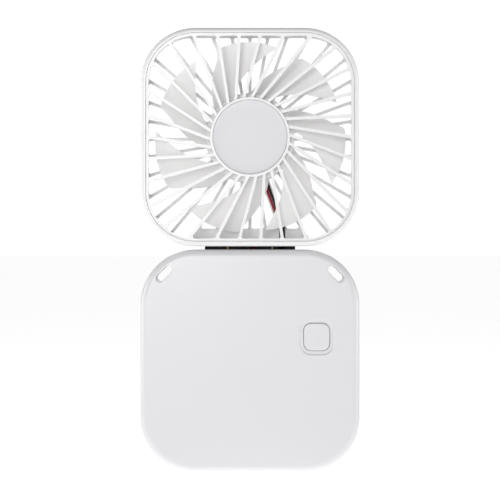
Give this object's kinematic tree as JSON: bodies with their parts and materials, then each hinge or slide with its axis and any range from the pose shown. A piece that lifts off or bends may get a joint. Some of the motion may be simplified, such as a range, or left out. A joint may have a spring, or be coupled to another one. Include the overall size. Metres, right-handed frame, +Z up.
{
  "type": "handheld electric fan",
  "caption": "Folding pocket fan: square guarded fan head hinged at the back to a square battery handle with one push button.",
  "frame": {"origin": "middle of the bounding box's bottom face, which is the handle's bottom edge", "axes": "+Z up from the handle to the fan head, -Y out of the front grille and the button, +X to the right seen from the front"},
  "size_m": [0.088, 0.021, 0.1783],
  "materials": {
    "white_shell": "moulded gloss white plastic",
    "white_grille": "moulded gloss white plastic",
    "white_impeller": "moulded white plastic",
    "white_button": "moulded gloss white plastic",
    "cap_grey": "satin light grey plastic",
    "hinge_black": "moulded black nylon",
    "steel": "plain steel",
    "zinc_screw": "zinc plated steel",
    "bronze": "sintered bronze",
    "copper": "enamelled copper wire",
    "lamination": "varnished steel laminations",
    "magnet": "bonded ferrite magnet",
    "board_green": "circuit board with green solder mask",
    "chip_black": "moulded chip case",
    "ceramic_tan": "ceramic capacitors",
    "connector_white": "natural nylon wire header",
    "wire_red": "red wire insulation",
    "wire_black": "black wire insulation",
    "cell_foil": "aluminium laminate pouch",
    "foam_black": "closed cell foam",
    "nickel": "nickel plated steel",
    "led_clear": "clear moulded plastic"
  },
  "bodies": {
    "handle": {"handle_front_cover": "white_shell", "handle_rear_cover": "white_shell", "hinge_handle_bracket": "hinge_black", "hinge_handle_screws": "zinc_screw", "hinge_washer_left": "bronze", "hinge_washer_right": "bronze", "motor_wire_red_handle": "wire_red", "motor_wire_black_handle": "wire_black", "battery_wire_red": "wire_red", "battery_wire_black": "wire_black", "control_board": "board_green", "board_screws": "zinc_screw", "switch_case": "chip_black", "usb_socket_shell": "nickel", "usb_socket_tongue": "chip_black", "motor_connector": "connector_white", "battery_connector": "connector_white", "boost_inductor": "magnet", "charger_chip": "chip_black", "controller_chip": "chip_black", "board_capacitors": "ceramic_tan", "charge_led": "led_clear", "led_light_pipe": "led_clear", "battery_cell": "cell_foil", "battery_protection_board": "board_green", "battery_foam_pad": "foam_black", "cover_screws": "zinc_screw"},
    "head": {"head_rear_shell": "white_shell", "front_grille": "white_grille", "centre_cap": "cap_grey", "hinge_head_bracket": "hinge_black", "hinge_head_screws": "zinc_screw", "hinge_pin": "steel", "hinge_wire_tube": "steel", "motor_wire_red_head": "wire_red", "motor_wire_black_head": "wire_black", "bearing_tube": "white_impeller", "sleeve_bearing": "bronze", "stator_core": "lamination", "stator_coils": "copper", "motor_board": "board_green"},
    "impeller": {"impeller": "white_impeller", "rotor_yoke": "steel", "magnet_ring": "magnet", "motor_shaft": "steel", "shaft_clip": "connector_white"},
    "button": {"power_button": "white_button"},
    "plunger": {"switch_plunger": "chip_black"}
  },
  "joints": [
    {"name": "head_fold", "type": "hinge", "parent": "handle", "child": "head", "pos_m": [0, 0.0069, 0.09015], "axis": [-1, 0, 0], "range_deg": [0, 180]},
    {"name": "impeller_spin", "type": "hinge", "parent": "head", "child": "impeller", "pos_m": [0, 0, 0.13455], "axis": [0, 1, 0], "continuous": true},
    {"name": "button_press", "type": "slide", "parent": "handle", "child": "button", "axis": [0, 1, 0], "range_m": [0, 0.00035], "stiffness_N_per_m": 2000, "springref_m": -0.0001},
    {"name": "plunger_travel", "type": "slide", "parent": "handle", "child": "plunger", "axis": [0, 1, 0], "range_m": [0, 0.00035]}
  ],
  "couplings": [
    {"joint": "plunger_travel", "follows": "button_press", "ratio": 1}
  ]
}
